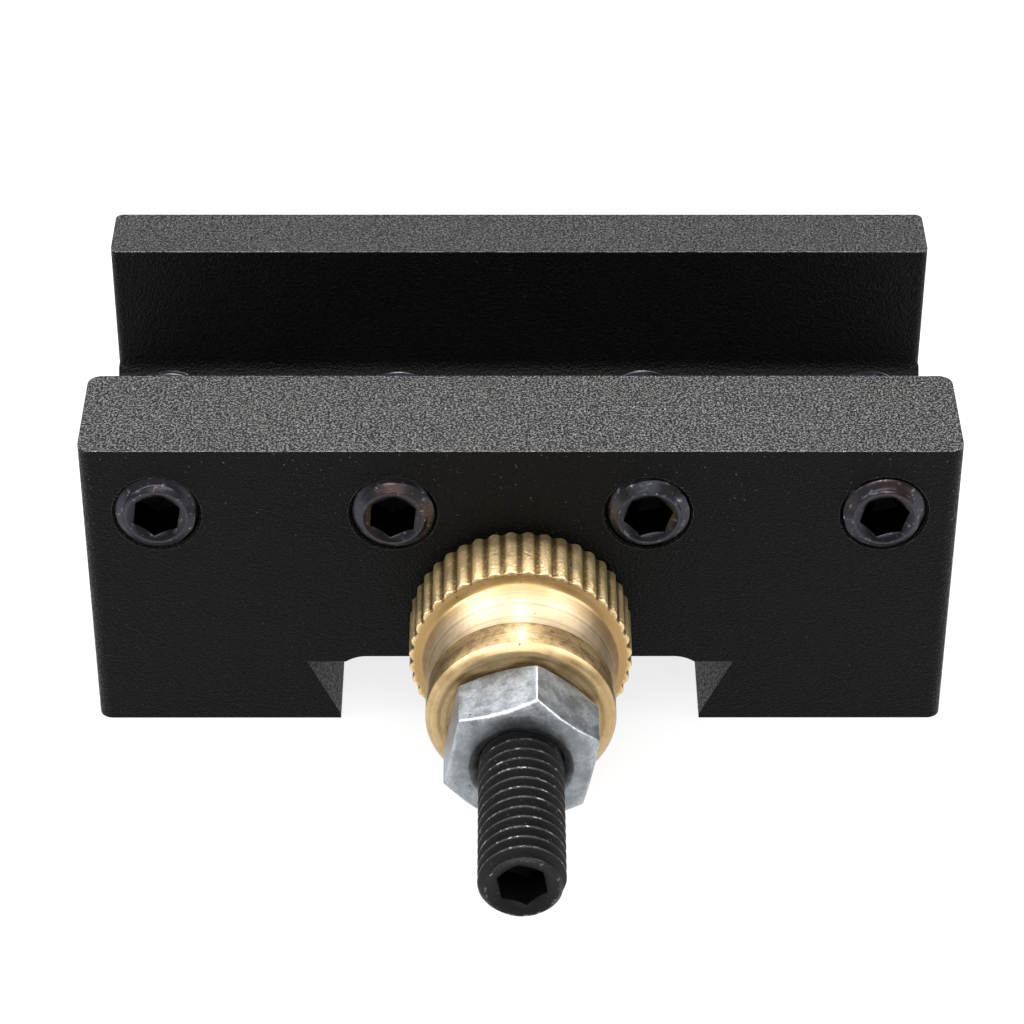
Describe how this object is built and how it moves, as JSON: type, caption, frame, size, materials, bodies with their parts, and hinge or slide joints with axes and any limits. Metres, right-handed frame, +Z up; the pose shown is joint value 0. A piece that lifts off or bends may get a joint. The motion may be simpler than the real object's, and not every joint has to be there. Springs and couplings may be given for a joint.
{
  "type": "quick change tool holder",
  "caption": "Slotted turning tool holder on a dovetail groove, with socket clamp screws along its front bar and a threaded height stud carrying a knurled nut and a hexagon lock nut.",
  "frame": {"origin": "on the mid-plane of the dovetail groove, level with its lands, at the block's front face", "axes": "+X along the block, +Y from the front face (screws and stud) to the back, +Z up out of the tool slot"},
  "size_m": [0.063, 0.0615, 0.0245],
  "materials": {
    "blackened_block": "matte",
    "dark_screw": "satin",
    "brass": "satin",
    "zinc": "satin"
  },
  "bodies": {
    "holder": {"holder_block": "blackened_block", "height_stud": "dark_screw"},
    "clamp_1": {"clamp_screw_1": "dark_screw"},
    "clamp_2": {"clamp_screw_2": "dark_screw"},
    "clamp_3": {"clamp_screw_3": "dark_screw"},
    "clamp_4": {"clamp_screw_4": "dark_screw"},
    "lock_nut": {"lock_nut": "zinc"},
    "height_nut": {"height_nut": "brass"}
  },
  "joints": [
    {"name": "clamp_1_travel", "type": "slide", "parent": "holder", "child": "clamp_1", "axis": [0, 1, 0], "range_m": [-0.008, 0.0045]},
    {"name": "clamp_2_travel", "type": "slide", "parent": "holder", "child": "clamp_2", "axis": [0, 1, 0], "range_m": [-0.008, 0.0045]},
    {"name": "clamp_3_travel", "type": "slide", "parent": "holder", "child": "clamp_3", "axis": [0, 1, 0], "range_m": [-0.008, 0.0045]},
    {"name": "clamp_4_travel", "type": "slide", "parent": "holder", "child": "clamp_4", "axis": [0, 1, 0], "range_m": [-0.008, 0.0045]},
    {"name": "lock_nut_travel", "type": "slide", "parent": "holder", "child": "lock_nut", "axis": [0, -1, 0], "range_m": [-0.00021, 0.01151]},
    {"name": "height_nut_turn", "type": "hinge", "parent": "lock_nut", "child": "height_nut", "pos_m": [0, 0, 0.0098], "axis": [0, -1, 0], "range_deg": [-72, 4140]}
  ],
  "couplings": [
    {"joint": "lock_nut_travel", "follows": "height_nut_turn", "m_per_rad": 0.00015915}
  ]
}
